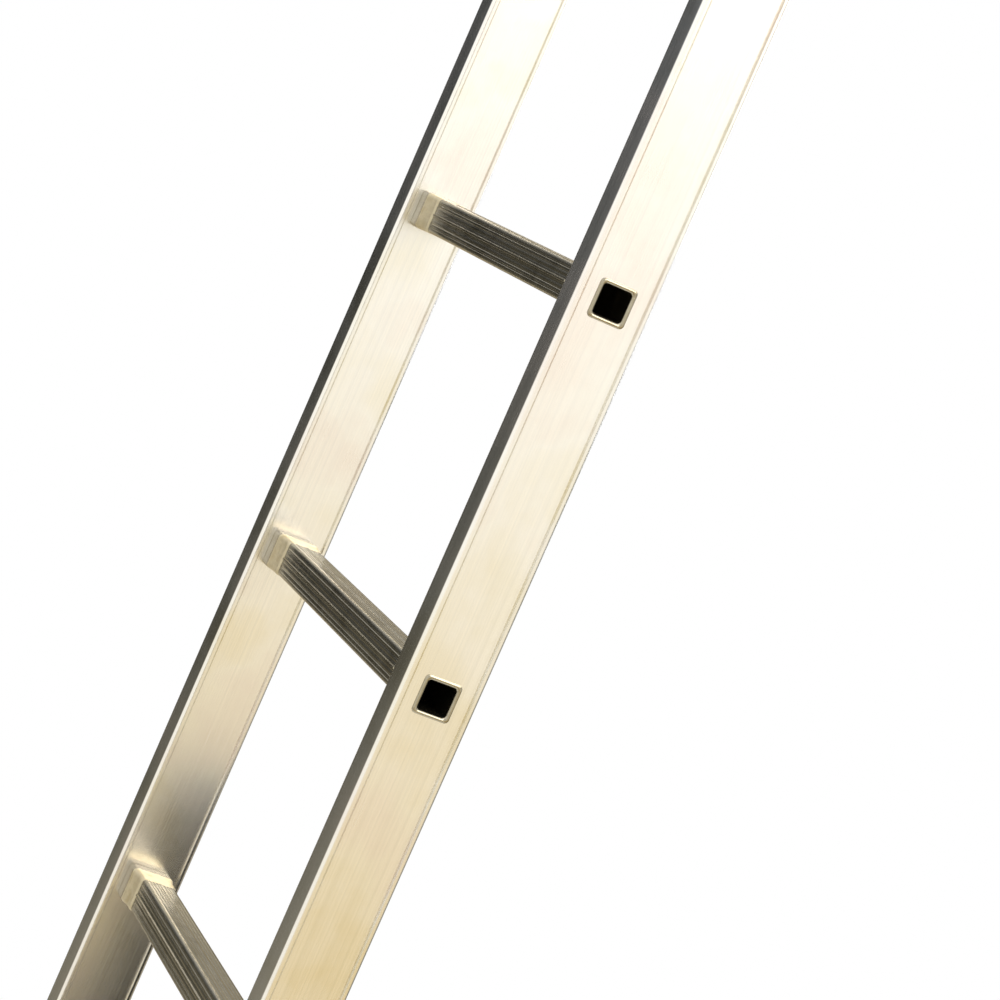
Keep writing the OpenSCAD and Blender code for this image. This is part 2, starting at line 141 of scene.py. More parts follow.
def mouldedPlastic(name, look):
    # a spark-eroded mould leaves a fine grain, and handling polishes it in patches
    material, tree, shader = startMaterial(name)
    coords = addNode(tree, "ShaderNodeTexCoord").outputs["Object"]
    grainScale, patch = 1 / (look["grain"] * mm), 1 / (look["patchSize"] * mm)
    grain = stretchedNoise(tree, coords, (grainScale,) * 3, 2.0, 0.6)
    patches = stretchedNoise(tree, coords, (patch,) * 3, 4.0, 0.6)
    tint = setRamp(addNode(tree, "ShaderNodeValToRGB", None, Fac=patches),
                   [(0.3, linearColour(look["colours"][0])), (0.7, linearColour(look["colours"][1]))])
    tree.links.new(tint.outputs["Color"], shader.inputs["Base Color"])
    low, high = look["roughness"]
    rough = addNode(tree, "ShaderNodeMapRange",
                    {"From Min": 0.3, "From Max": 0.7, "To Min": low, "To Max": high}, Value=patches)
    tree.links.new(rough.outputs["Result"], shader.inputs["Roughness"])
    bump = addNode(tree, "ShaderNodeBump", {"Strength": look["bump"], "Distance": 0.1 * mm}, Height=grain)
    tree.links.new(bump.outputs["Normal"], shader.inputs["Normal"])
    shader.inputs["IOR"].default_value = look["ior"]
    return material


# finishes

looks = {
    # mill-finish 6063 extrusion: fine die lines along its length, a silky gloss and slight handling haze
    "stile": dict(grain="z", streakWidth=0.9, streakLength=600, streakShade=0.10, streakRough=0.08,
                  patchSize=85, colours=("#F3EEDF", "#F8F6F0", "#F4EDE6"), roughness=(0.15, 0.24),
                  bump=0.25, bumpDepth=0.05),
    # the same alloy drawn through a ribbed die, dulled by shoes and hands, and with its colour painted darker
    # than the stiles' as painted shade, which dims the rungs and the light that they throw onto the stiles
    "rung": dict(grain="x", streakWidth=0.8, streakLength=300, streakShade=0.22, streakRough=0.10,
                 patchSize=26, colours=("#A29A84", "#B4AD99", "#A89E86"), roughness=(0.16, 0.22),
                 bump=0.3, bumpDepth=0.06),
    # the rung's ends, bright and matt where the tube is swaged round the stile
    "collar": dict(grain="x", streakWidth=0.8, streakLength=60, streakShade=0.14, streakRough=0.10,
                   patchSize=12, colours=("#D2C49F", "#DFD3B4", "#CDBD95"), roughness=(0.40, 0.50),
                   bump=0.3, bumpDepth=0.06),
    # pressed sheet, satin from tumbling
    "guide": dict(grain="z", streakWidth=0.6, streakLength=30, streakShade=0.10, streakRough=0.10,
                  patchSize=18, colours=("#D2D1CC", "#DEDDD8", "#D6D5D1"), roughness=(0.30, 0.42),
                  bump=0.2, bumpDepth=0.04),
    # bright zinc plating over mild steel, with a faint blue and straw passivation
    "zinc": dict(grain="y", streakWidth=0.5, streakLength=8, streakShade=0.12, streakRough=0.12,
                 patchSize=9, colours=("#B9BDC0", "#C9C9C2", "#C6C1AC"), roughness=(0.26, 0.42),
                 bump=0.25, bumpDepth=0.04),
    # aluminium blind rivets, satin from the setting tool
    "rivet": dict(grain="x", streakWidth=0.4, streakLength=2, streakShade=0.08, streakRough=0.12,
                  patchSize=4, colours=("#CFCFCC", "#DBDAD6", "#D3D2CE"), roughness=(0.26, 0.36),
                  bump=0.15, bumpDepth=0.03),
}
plasticLooks = {
    # glass-filled polypropylene, spark-eroded mould
    "shoe": dict(grain=0.45, patchSize=14, colours=("#1E1F22", "#2B2C2F"),
                roughness=(0.42, 0.6), bump=0.35, ior=1.49),
    # natural-rubber compound, matt with a little bloom
    "rubber": dict(grain=0.7, patchSize=10, colours=("#131314", "#222223"),
                  roughness=(0.66, 0.85), bump=0.5, ior=1.52),
    # black nylon, waxy where it rubs
    "nylon": dict(grain=0.5, patchSize=8, colours=("#16171A", "#232427"),
                 roughness=(0.3, 0.5), bump=0.2, ior=1.53),
}
millAluminium = brushedMetal("millAluminiumExtruded", looks["stile"])
ribbedAluminium = brushedMetal("millAluminiumRibbed", looks["rung"])
swagedAluminium = brushedMetal("millAluminiumSwaged", looks["collar"])
pressedAluminium = brushedMetal("aluminiumPressedSatin", looks["guide"])
zincSteel = brushedMetal("zincPlatedSteel", looks["zinc"])
rivetAluminium = brushedMetal("aluminiumRivetSatin", looks["rivet"])
shoePlastic = mouldedPlastic("polypropyleneMoulded", plasticLooks["shoe"])
blackRubber = mouldedPlastic("rubberMoulded", plasticLooks["rubber"])
blackNylon = mouldedPlastic("nylonMoulded", plasticLooks["nylon"])
finishOf = {
    "stile": millAluminium, "rung": ribbedAluminium, "guide": pressedAluminium, "rivet": rivetAluminium,
    "foot_shoe": shoePlastic, "end_cap": shoePlastic, "foot_pad": blackRubber, "wall_cap": blackRubber,
    "guide_liner": blackNylon, "slide_pad": blackNylon,
    "lock_bracket": zincSteel, "lock_hook": zincSteel, "lock_pin": zincSteel,
}
print("materials made")

for name, obj in nodes.items():
    obj.data.materials.clear()
    obj.data.materials.append(finishOf[slotOf[name]])


# mesh helpers

def boxOf(node):
    low, high = [Vector(corner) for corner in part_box(node)]
    return low, high, (low + high) / 2


def finishPiece(bm, name, node, sharp=38):
    # writes the mesh, gives it its finish and puts it on the body of the node that it stands for
    bmesh.ops.remove_doubles(bm, verts=bm.verts, dist=1e-6)
    bmesh.ops.recalc_face_normals(bm, faces=bm.faces)
    mesh = bpy.data.meshes.new(name)
    bm.to_mesh(mesh)
    bm.free()
    mesh.shade_smooth()
    mesh.set_sharp_from_angle(angle=math.radians(sharp))
    piece = bpy.data.objects.new(name, mesh)
    scene.collection.objects.link(piece)
    mesh.materials.append(finishOf[slotOf[node]])
    modifier = piece.modifiers.new("weightedNormals", "WEIGHTED_NORMAL")
    modifier.keep_sharp = True
    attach(piece, bodyOf[node])
    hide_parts(node)
    return piece


def newVerts(made):
    return [item for item in made["geom"] if isinstance(item, bmesh.types.BMVert)]


def newEdges(made):
    return [item for item in made["geom"] if isinstance(item, bmesh.types.BMEdge)]


def bisect(bm, point, normal):
    bmesh.ops.bisect_plane(bm, geom=bm.verts[:] + bm.edges[:] + bm.faces[:], dist=1e-7,
                           plane_co=point, plane_no=normal)


def bevelEdges(bm, edges, offset, segments):
    bmesh.ops.bevel(bm, geom=edges, offset=offset * mm, segments=segments, profile=0.5,
                    affect="EDGES", material=-1)


def isAt(value, place):
    # same place to within a thousandth of a millimetre
    return abs(value - place) < 1e-6


def allAt(edge, axis, place):
    return all(isAt(vert.co[axis], place) for vert in edge.verts)


def edgesAlong(bm, axis, keep=lambda middle: True):
    # straight edges that run along one axis and whose middle passes the test
    found = []
    for edge in bm.edges:
        span = edge.verts[1].co - edge.verts[0].co
        if abs(span[axis]) > 0.999 * span.length and keep((edge.verts[0].co + edge.verts[1].co) / 2):
            found.append(edge)
    return found


def extrudeOutline(bm, points, shift):
    # points are the corners of a flat outline, and shift carries it to the far face
    face = bm.faces.new([bm.verts.new(point) for point in points])
    made = bmesh.ops.extrude_face_region(bm, geom=[face])
    bmesh.ops.translate(bm, vec=shift, verts=newVerts(made))


def block(bm, low, high):
    size, middle = high - low, (low + high) / 2
    made = bmesh.ops.create_cube(bm, size=1, matrix=Matrix.Translation(middle) @ Matrix.Diagonal((*size, 1)))
    return made["verts"]


def softenAll(bm, offset, segments=2, least=25):
    # rounds every edge that turns by more than the least angle
    edges = [e for e in bm.edges if len(e.link_faces) == 2 and e.calc_face_angle(0) > math.radians(least)]
    bevelEdges(bm, edges, offset, segments)


def spinProfile(bm, profile, centre, sign=1, steps=32):
    # profile: distance along X from the centre and radius, in millimetres, from axis to axis or closed
    start = [bm.verts.new(centre + Vector((sign * x * mm, 0, r * mm))) for x, r in profile]
    edges = [bm.edges.new(pair) for pair in zip(start, start[1:])]
    bmesh.ops.spin(bm, geom=start + edges, cent=centre, axis=(1, 0, 0), angle=math.tau, steps=steps,
                   use_merge=True)


def grooveRing(bm, middle, z, width, depth):
    # presses a shallow groove round an upright block at one height
    for dz in (-width / 2, -width / 4, width / 4, width / 2):
        bisect(bm, (0, 0, z + dz * mm), (0, 0, 1))
    for vert in bm.verts:
        if abs(vert.co.z - z) < 0.3 * width * mm:
            for axis in (0, 1):
                vert.co[axis] -= math.copysign(depth * mm, vert.co[axis] - middle[axis])


# stiles

stileValues = dict(
    lipWidth=3.6,       # flat top of the raised lip
    stepWidth=0.9,      # slope from the lip down to the groove
    grooveWidth=1.2,    # die groove along the foot of the lip
    grooveDepth=1.2,
    grooveSlope=0.4,
    lipHeight=1.5,
    edgeRadius=2.4,
    edgeSegments=5,
    holeGap=0.05,       # round each rung
)


def buildStile(node, rungNodes, neckHalf):
    v = stileValues
    low, high, mid = boxOf(node)
    halfX, halfY = (high.x - low.x) / 2, (high.y - low.y) / 2
    web = halfX - v["lipHeight"] * mm
    lipEnd = halfY - v["lipWidth"] * mm
    foot = lipEnd - v["stepWidth"] * mm
    groove = foot - v["grooveWidth"] * mm
    grooveFloor = web - v["grooveDepth"] * mm
    quarter = [(halfX, halfY), (halfX, lipEnd), (grooveFloor, foot), (grooveFloor, groove),
               (web, groove - v["grooveSlope"] * mm)]
    outline = [(x, y) for x, y in quarter] + [(x, -y) for x, y in reversed(quarter)]
    outline += [(-x, -y) for x, y in quarter] + [(-x, y) for x, y in reversed(quarter)]
    bm = bmesh.new()
    extrudeOutline(bm, [(mid.x + x, mid.y + y, low.z) for x, y in outline], (0, 0, high.z - low.z))
    corners = edgesAlong(bm, 2, lambda m: isAt(abs(m.x - mid.x), halfX) and isAt(abs(m.y - mid.y), halfY))
    bevelEdges(bm, corners, v["edgeRadius"], v["edgeSegments"])
    hole = neckHalf + v["holeGap"] * mm
    centres = [boxOf(name)[2] for name in rungNodes]
    for sign in (-1, 1):
        bisect(bm, (0, centres[0].y + sign * hole, 0), (0, 1, 0))
        for centre in centres:
            bisect(bm, (0, 0, centre.z + sign * hole), (0, 0, 1))
    for centre in centres:
        window = [f for f in bm.faces if abs(f.normal.x) > 0.9
                  and abs(f.calc_center_median().z - centre.z) < hole
                  and abs(f.calc_center_median().y - centre.y) < hole]
        rim = {e for f in window for e in f.edges}
        bmesh.ops.delete(bm, geom=window, context="FACES_ONLY")
        bmesh.ops.bridge_loops(bm, edges=[e for e in rim if e.is_valid and e.is_boundary])
    finishPiece(bm, node.replace("stile", "stileProfile"), node)


# rungs

rungValues = dict(
    bodyHalf=13.5,
    cornerRadius=3.0,
    cornerSegments=4,
    flareThick=1.2,
    # right end, from the bore out over the flare and back: each ring is a distance from the stile's outer
    # flat, a half depth and a half height
    mouth=((-26.0, 11.7, 11.7), (-24.0, 10.3, 10.3), (-1.0, 10.3, 10.3), (0.3, 10.6, 10.6), (0.9, 11.2, 11.2),
           (1.2, 12.0, 12.0), (1.1, 12.9, 12.9), (0.7, 13.5, 13.5), (0.2, 13.65, 13.65), (0.0, 13.3, 13.3),
           (0.0, 12.1, 12.1)),
    # collar, from the stile's inner flat towards the middle of the rung
    collar=((0.0, 12.1, 12.1), (0.02, 16.2, 13.4), (0.8, 17.0, 14.2), (11.0, 17.0, 14.2),
            (12.0, 16.85, 14.17), (13.0, 16.5, 14.1), (20.0, 14.95, 13.9), (21.0, 14.8, 13.85),
            (30.6, 14.8, 13.85), (31.4, 14.6, 13.8), (33.6, 13.75, 13.6), (34.0, 13.5, 13.5)),
    bodyGap=0.5,        # from the last ring to where the plain body is taken to start
    swageStart=12.0,    # bright part of the collar, from the stile's inner flat
    ribPitch=3.0,
    ribGroove=1.6,
    ribCount=3,
    ribDepth=0.5,
    ribSlope=0.5,
    ridgeHalf=1.1,
    ridgeHeight=0.6,
    ridgeSlope=0.6,
    crown=0.5,          # how far the front and back faces rise from their corners to the middle ridge
)


def buildRung(node):
    v = rungValues
    _, high, mid = boxOf(node)
    web = high.x / mm - v["flareThick"]
    stileLow = boxOf(node.split("_")[0] + "_stile_right")[0]
    innerWeb = stileLow.x / mm + stileValues["lipHeight"]
    right = [(web + x, y, z) for x, y, z in v["mouth"]] + [(innerWeb - x, y, z) for x, y, z in v["collar"]]
    rings = right + [(-x, y, z) for x, y, z in reversed(right)]
    bodyEnd = (right[-1][0] - v["bodyGap"]) * mm
    outside = v["bodyHalf"] * mm
    bm = bmesh.new()
    bmesh.ops.create_grid(bm, x_segments=1, y_segments=1, size=outside,
                          matrix=Matrix.Rotation(math.pi / 2, 4, "Y"))
    bmesh.ops.bevel(bm, geom=bm.verts[:], offset=v["cornerRadius"] * mm, segments=v["cornerSegments"],
                    profile=0.5, affect="VERTICES", material=-1)
    bmesh.ops.delete(bm, geom=bm.faces[:], context="FACES_ONLY")
    first = loop = bm.edges[:]
    place, halfY, halfZ = 0.0, v["bodyHalf"], v["bodyHalf"]
    for number, (x, y, z) in enumerate(rings):
        if number:
            loop = newEdges(bmesh.ops.extrude_edge_only(bm, edges=loop))
        verts = list({vert for edge in loop for vert in edge.verts})
        bmesh.ops.scale(bm, vec=(1, y / halfY, z / halfZ), verts=verts)
        bmesh.ops.translate(bm, vec=((x - place) * mm, 0, 0), verts=verts)
        place, halfY, halfZ = x, y, z
    bmesh.ops.bridge_loops(bm, edges=first + loop)
    middles = [k * v["ribPitch"] for k in range(1, v["ribCount"] + 1)]
    cuts = [v["ridgeHalf"]] + [m + side * v["ribGroove"] / 2 for m in middles for side in (-1, 1)]
    for cut in cuts:
        for sign in (-1, 1):
            bisect(bm, (0, sign * cut * mm, 0), (0, 1, 0))
            bisect(bm, (0, 0, sign * cut * mm), (0, 0, 1))
    strips, ridges = [], []
    for face in bm.faces:
        centre = face.calc_center_median()
        if bodyEnd < abs(centre.x) < (innerWeb - v["swageStart"]) * mm:
            face.material_index = 1
        if abs(centre.x) < 1 * mm and max(abs(centre.y), abs(centre.z)) > outside - 1e-5:
            aside = min(abs(centre.y), abs(centre.z)) / mm
            if aside < v["ridgeHalf"]:
                ridges.append(face)
            if any(abs(aside - middle) < v["ribGroove"] / 2 for middle in middles):
                strips.append(face)
    bmesh.ops.recalc_face_normals(bm, faces=bm.faces)
    bmesh.ops.inset_individual(bm, faces=strips, thickness=v["ribSlope"] * mm, depth=-v["ribDepth"] * mm,
                               use_even_offset=True)
    bmesh.ops.inset_individual(bm, faces=ridges, thickness=v["ridgeSlope"] * mm, depth=v["ridgeHeight"] * mm,
                               use_even_offset=True)
    flat = outside - v["cornerRadius"] * mm
    for vert in bm.verts:
        # front and back faces are crowned towards their ridge
        if abs(vert.co.x) < bodyEnd and abs(vert.co.y) > outside - 1 * mm and abs(vert.co.z) < flat:
            vert.co.y += math.copysign(v["crown"] * mm * (1 - abs(vert.co.z) / flat), vert.co.y)
    bmesh.ops.translate(bm, vec=(0, mid.y, mid.z), verts=bm.verts)
    tube = finishPiece(bm, node.replace("rung", "rungTube"), node)
    tube.data.materials.append(swagedAluminium)


for section in ("base", "fly"):
    rungNodes = sorted(name for name in nodes if name.startswith(section + "_rung_"))
    for side in sides:
        buildStile(section + "_stile_" + side, rungNodes, rungValues["mouth"][-1][1] * mm)
    for name in rungNodes:
        buildRung(name)
print("stiles and rungs made")


# feet

shoeValues = dict(floor=4.0, wall=3.2, cornerRadius=5.0, rimRadius=0.8,
                  grooves=(14.0, 20.0, 26.0), grooveWidth=2.4, grooveDepth=0.9)
padValues = dict(thickness=14.0, cornerRadius=5.0, soften=0.6, edgeSlope=1.2,
                 treadWidth=4.0, treadLand=6.0, treadDepth=3.0, treadCount=5)


def buildShoe(node):
    v = shoeValues
    low, high, mid = boxOf(node)
    bm = bmesh.new()
    block(bm, low, high)
    bevelEdges(bm, edgesAlong(bm, 2), v["cornerRadius"], 5)
    top = [f for f in bm.faces if f.normal.z > 0.9]
    bmesh.ops.inset_region(bm, faces=top, thickness=v["wall"] * mm, use_even_offset=True)
    made = bmesh.ops.extrude_face_region(bm, geom=top)
    bmesh.ops.delete(bm, geom=top, context="FACES_ONLY")
    bmesh.ops.translate(bm, vec=(0, 0, low.z + v["floor"] * mm - high.z), verts=newVerts(made))
    rim = [e for e in bm.edges if allAt(e, 2, high.z)
           and len(e.link_faces) == 2 and e.calc_face_angle(0) > 0.5]
    bevelEdges(bm, rim, v["rimRadius"], 3)
    for height in v["grooves"]:
        # only the outside is pressed in, because the pocket's verts lie nearer the middle
        before = set(bm.verts)
        for dz in (-0.5, -0.25, 0.25, 0.5):
            bisect(bm, (0, 0, low.z + (height + dz * v["grooveWidth"]) * mm), (0, 0, 1))
        half = (high - low) / 2
        pocketX, pocketY = half.x - (v["wall"] - 1) * mm, half.y - (v["wall"] - 1) * mm
        for vert in set(bm.verts) - before:
            off = vert.co - mid
            if abs(vert.co.z - low.z - height * mm) < 0.3 * v["grooveWidth"] * mm:
                if abs(off.x) > pocketX or abs(off.y) > pocketY:
                    for axis in (0, 1):
                        vert.co[axis] = mid[axis] + off[axis] * (1 - v["grooveDepth"] * mm / half[axis])
    finishPiece(bm, node.replace("foot_shoe", "shoeMoulding"), node)


def buildPad(node):
    v = padValues
    low, high, mid = boxOf(node)
    top = low.z + v["thickness"] * mm       # the node's pegs stand above the pad
    half = (high.y - low.y) / 2 / mm
    teeth = []
    for k in range(v["treadCount"]):
        middle = (k - (v["treadCount"] - 1) / 2) * (v["treadWidth"] + v["treadLand"])
        for dy, dz in ((-0.5, 0), (-0.4, 1), (0.4, 1), (0.5, 0)):
            teeth.append((middle + dy * v["treadWidth"], dz * v["treadDepth"]))
    outline = [(-half + v["edgeSlope"], 0)] + teeth + [(half - v["edgeSlope"], 0), (half, 3 * v["edgeSlope"])]
    outline += [(half, v["thickness"]), (-half, v["thickness"]), (-half, 3 * v["edgeSlope"])]
    bm = bmesh.new()
    extrudeOutline(bm, [(low.x, mid.y + y * mm, low.z + z * mm) for y, z in outline], (high.x - low.x, 0, 0))
    corners = edgesAlong(bm, 2, lambda m: abs(abs(m.y - mid.y) / mm - half) < 0.01)
    bevelEdges(bm, corners, v["cornerRadius"], 5)
    rim = [e for e in bm.edges if allAt(e, 2, top)]
    bevelEdges(bm, rim, v["soften"], 2)
    finishPiece(bm, node.replace("foot_pad", "solePad"), node)


# caps

capValues = dict(flange=3.0, cornerRadius=2.2, topRadius=1.0, recess=0.5, recessInset=1.2,
                 plugGap=3.2, plugWall=3.0, plugHollow=0.95)
wallCapValues = dict(skirt=24.0, wall=2.0, cornerRadius=3.5, topRadius=1.2,
                     grooves=(29.5, 26.5, 6.0), grooveWidth=1.6, grooveDepth=0.5)


def buildEndCap(node, up):
    v = capValues
    low, high, _ = boxOf(node)
    inner = high.z - v["flange"] * mm if up > 0 else low.z + v["flange"] * mm
    outer, plugEnd = (high.z, low.z) if up > 0 else (low.z, high.z)
    bm = bmesh.new()
    block(bm, Vector((low.x, low.y, min(inner, outer))), Vector((high.x, high.y, max(inner, outer))))
    bevelEdges(bm, edgesAlong(bm, 2), v["cornerRadius"], 4)
    rim = [e for e in bm.edges if allAt(e, 2, outer)]
    bevelEdges(bm, rim, v["topRadius"], 3)
    face = [f for f in bm.faces if isAt(f.calc_center_median().z, outer)]
    bmesh.ops.inset_region(bm, faces=face, thickness=v["recessInset"] * mm, use_even_offset=True)
    bmesh.ops.inset_region(bm, faces=face, thickness=v["recess"] * mm, depth=-v["recess"] * mm,
                           use_even_offset=True)
    # the hollow plug behind the flange
    gap = Vector((v["plugGap"], v["plugGap"], 0)) * mm
    plugLow, plugHigh = low + gap, high - gap
    plugLow.z, plugHigh.z = min(inner, plugEnd), max(inner, plugEnd)
    block(bm, plugLow, plugHigh)
    tip = [f for f in bm.faces if isAt(f.calc_center_median().z, plugEnd)]
    bmesh.ops.inset_region(bm, faces=tip, thickness=v["plugWall"] * mm, use_even_offset=True)
    made = bmesh.ops.extrude_face_region(bm, geom=tip)
    bmesh.ops.delete(bm, geom=tip, context="FACES_ONLY")
    bmesh.ops.translate(bm, vec=(0, 0, (inner - plugEnd) * v["plugHollow"]), verts=newVerts(made))
    finishPiece(bm, node.replace("_cap", "CapMoulding"), node)


def buildWallCap(node):
    v = wallCapValues
    low, high, mid = boxOf(node)
    bm = bmesh.new()
    block(bm, low, high)
    bevelEdges(bm, edgesAlong(bm, 2), v["cornerRadius"], 5)
    for height in v["grooves"]:
        grooveRing(bm, mid, low.z + height * mm, v["grooveWidth"], v["grooveDepth"])
    crown = [e for e in bm.edges if allAt(e, 2, high.z)]
    bevelEdges(bm, crown, v["topRadius"], 4)
    under = [f for f in bm.faces if f.normal.z < -0.9 and isAt(f.calc_center_median().z, low.z)]
    bmesh.ops.inset_region(bm, faces=under, thickness=v["wall"] * mm, use_even_offset=True)
    made = bmesh.ops.extrude_face_region(bm, geom=under)
    bmesh.ops.delete(bm, geom=under, context="FACES_ONLY")
    bmesh.ops.translate(bm, vec=(0, 0, v["skirt"] * mm), verts=newVerts(made))
    finishPiece(bm, node.replace("wall_cap", "wallCapMoulding"), node)


# guides and stops

guideValues = dict(plate=3.0, spacer=3.0, spacerDepth=41.25, bendOuter=3.6, bendInner=1.2,
                   cornerRadius=5.0, soften=0.45)
linerValues = dict(thick=2.5, bend=1.2, soften=0.4, pegRadius=3.4, pegWaist=0.9, pegRise=0.9, pegRoot=0.5,
                   pegDz=17.0)
slidePadValues = dict(depth=5.5, lead=2.2, soften=0.5)
stopValues = dict(cornerRadius=3.0, soften=0.8)


def buildGuide(node, side, facing):
    # facing is the way along Y from the guide's own section to the other
    v = guideValues
    low, high, _ = boxOf(node)
    out = 1 if side == "right" else -1
    outer, inner = (high.x, low.x) if out > 0 else (low.x, high.x)
    near, far = (low.y, high.y) if facing > 0 else (high.y, low.y)
    plateIn = outer - out * v["plate"] * mm
    spacerIn = plateIn - out * v["spacer"] * mm
    spacerEnd = near + facing * v["spacerDepth"] * mm
    plateEnd = far - facing * v["plate"] * mm
    outline = [(spacerIn, near), (outer, near), (outer, far), (inner, far), (inner, plateEnd),
               (plateIn, plateEnd), (plateIn, spacerEnd), (spacerIn, spacerEnd)]
    bm = bmesh.new()
    extrudeOutline(bm, [(x, y, low.z) for x, y in outline], (0, 0, high.z - low.z))
    bend = edgesAlong(bm, 2, lambda m: isAt(m.x, outer) and isAt(m.y, far))
    bevelEdges(bm, bend, v["bendOuter"], 6)
    bend = edgesAlong(bm, 2, lambda m: isAt(m.x, plateIn) and isAt(m.y, plateEnd))
    bevelEdges(bm, bend, v["bendInner"], 3)
    tips = edgesAlong(bm, 1, lambda m: isAt(m.x, inner))
    bevelEdges(bm, tips, v["cornerRadius"], 5)
    softenAll(bm, v["soften"], 2, 40)
    finishPiece(bm, node.replace("guide", "guidePressing"), node)


def buildLiner(node, side, facing):
    v = linerValues
    low, high, mid = boxOf(node)
    out = 1 if side == "right" else -1
    outer, inner = (high.x, low.x) if out > 0 else (low.x, high.x)
    outer -= out * guideValues["plate"] * mm        # the node's pegs reach through the guide's plate
    near, far = (low.y, high.y) if facing > 0 else (high.y, low.y)
    faceIn, farIn = outer - out * v["thick"] * mm, far - facing * v["thick"] * mm
    outline = [(faceIn, near), (outer, near), (outer, far), (inner, far), (inner, farIn), (faceIn, farIn)]
    bm = bmesh.new()
    extrudeOutline(bm, [(x, y, low.z) for x, y in outline], (0, 0, high.z - low.z))
    bevelEdges(bm, edgesAlong(bm, 2, lambda m: isAt(m.x, outer) and isAt(m.y, far)), v["bend"], 3)
    softenAll(bm, v["soften"], 2, 40)
    pegLength = guideValues["plate"] + v["pegRise"]
    waist = v["pegRadius"] - v["pegWaist"]
    profile = [(-v["pegRoot"], 0), (-v["pegRoot"], waist), (guideValues["plate"], waist),
               (guideValues["plate"] + 0.05, v["pegRadius"]), (pegLength - 0.4, v["pegRadius"] - 0.3),
               (pegLength, v["pegRadius"] - 1.2), (pegLength, 0)]
    middleY = (0.5 * (near + far)) - facing * v["thick"] / 2 * mm
    for sign in (-1, 1):
        spinProfile(bm, profile, Vector((outer, middleY, mid.z + sign * v["pegDz"] * mm)), out, 24)
    finishPiece(bm, node.replace("guide_liner", "nylonLiner"), node)


def buildSlidePad(node, facing):
    v = slidePadValues
    low, high, _ = boxOf(node)
    depth = v["depth"] * mm     # the rest of the node is its pegs inside the stile
    near = high.y - depth if facing > 0 else low.y + depth
    face = high.y if facing > 0 else low.y
    bm = bmesh.new()
    block(bm, Vector((low.x, min(near, face), low.z)), Vector((high.x, max(near, face), high.z)))
    bevelEdges(bm, edgesAlong(bm, 0, lambda m: isAt(m.y, face)), v["lead"], 4)
    softenAll(bm, v["soften"], 2, 40)
    finishPiece(bm, node.replace("slide_pad", "slidePadMoulding"), node)


def buildStop(node):
    v = stopValues
    low, high, mid = boxOf(node)
    outer = high.x if mid.x > 0 else low.x
    bm = bmesh.new()
    block(bm, low, high)
    bevelEdges(bm, edgesAlong(bm, 0), v["cornerRadius"], 4)
    face = [e for e in bm.edges if allAt(e, 0, outer)]
    bevelEdges(bm, face, v["soften"], 3)
    finishPiece(bm, node.replace("extension_stop", "stopBlock"), node)


# rung locks

hookValues = dict(
    boss=13.0, hole=5.05, soften=0.9, parked=118.0,
    # corners of the arm, from the pivot: back towards the base section and up, with the hook seated;
    # the pocket is a little wider and higher than the node's, to clear the rung's ridges
    arm=((71.3, -12.0), (73.55, -12.3), (75.65, -13.17), (77.45, -14.55), (78.83, -16.35), (79.7, -18.45),
         (80.0, -20.7), (80.0, -33.6), (78.5, -35.1), (73.4, -35.1), (71.9, -33.6), (71.9, -25.4),
         (42.1, -25.4), (42.1, -33.6), (40.6, -35.1), (37.4, -35.1)),
    bossFrom=70, bossTo=232, bossSteps=12,
)
bracketValues = dict(sheet=2.5, bendOuter=3.4, bendInner=1.0, cornerRadius=8.0, soften=0.3)
pinValues = dict(head=9.0, headThick=4.0, headRound=0.3, shank=5.0, chamfer=0.9, tip=0.5,
                 dimple=2.6, dimpleDepth=0.5, dimpleSlope=0.6)
spacerValues = dict(radius=8.0, bore=5.1, chamfer=0.6, play=0.3)


def buildHook(node, pivot):
    v = hookValues
    low, high, _ = boxOf(node)
    sideways = Matrix.Rotation(math.pi / 2, 4, "Y")
    turn = (v["bossTo"] - v["bossFrom"]) / v["bossSteps"]
    boss = [math.radians(v["bossTo"] - k * turn) for k in range(v["bossSteps"] + 1)]
    outline = [(v["boss"] * math.cos(a), v["boss"] * math.sin(a)) for a in boss] + list(v["arm"])
    bm = bmesh.new()
    rim = [bm.verts.new((low.x, u * mm, w * mm)) for u, w in outline]
    edges = [bm.edges.new((rim[k - 1], rim[k])) for k in range(len(rim))]
    made = bmesh.ops.create_circle(bm, segments=32, radius=v["hole"] * mm,
                                   matrix=Matrix.Translation((low.x, 0, 0)) @ sideways)
    edges += list({e for vert in made["verts"] for e in vert.link_edges})
    bmesh.ops.triangle_fill(bm, use_beauty=True, use_dissolve=False, edges=edges)
    made = bmesh.ops.extrude_face_region(bm, geom=bm.faces[:])
    bmesh.ops.translate(bm, vec=(high.x - low.x, 0, 0), verts=newVerts(made))
    bmesh.ops.recalc_face_normals(bm, faces=bm.faces)
    flat = [e for e in bm.edges if len(e.link_faces) == 2 and e.calc_face_angle(0) > 1.2
            and isAt(e.verts[0].co.x, e.verts[1].co.x)]
    bevelEdges(bm, flat, v["soften"], 3)
    park = Matrix.Rotation(math.radians(v["parked"]), 3, "X")
    bmesh.ops.rotate(bm, cent=(0, 0, 0), matrix=park, verts=bm.verts)
    bmesh.ops.translate(bm, vec=(0, pivot.y, pivot.z), verts=bm.verts)
    finishPiece(bm, node.replace("lock_hook", "lockHookPlate"), node)


